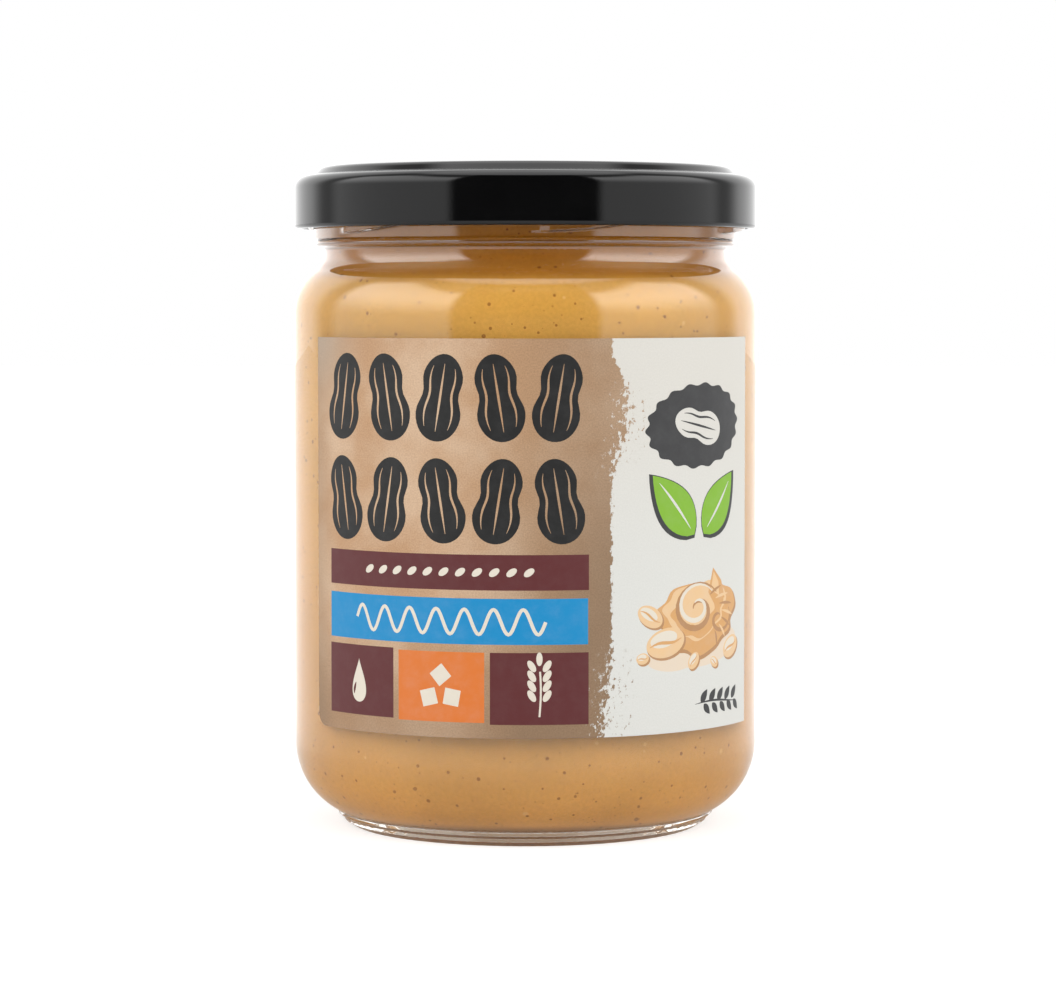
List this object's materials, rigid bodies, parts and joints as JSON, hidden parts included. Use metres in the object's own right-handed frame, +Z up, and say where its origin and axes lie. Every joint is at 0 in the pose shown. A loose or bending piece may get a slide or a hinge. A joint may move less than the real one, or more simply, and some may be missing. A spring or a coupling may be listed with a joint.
{
  "type": "peanut butter jar",
  "caption": "Shut round glass jar full of peanut butter, with a black twist-off metal lid, a narrower threaded neck, a stacking base and a printed paper label round its front.",
  "frame": {"origin": "centre of the jar's foot, on the surface that it stands on", "axes": "+Z up along the jar's axis; the label's middle faces -Y; +X is to the right as the label is read"},
  "size_m": [0.086, 0.0862, 0.122],
  "materials": {
    "glass": "clear, smooth and glossy",
    "lid_paint": "black lacquer, semi-gloss",
    "peanut_butter": "smooth golden brown paste with small dark specks, slightly oily",
    "label_paper": "printed kraft brown and white paper, matt"
  },
  "bodies": {
    "root": {"glass_jar": "glass", "lid": "lid_paint", "peanut_butter": "peanut_butter", "label": "label_paper"}
  },
  "joints": []
}
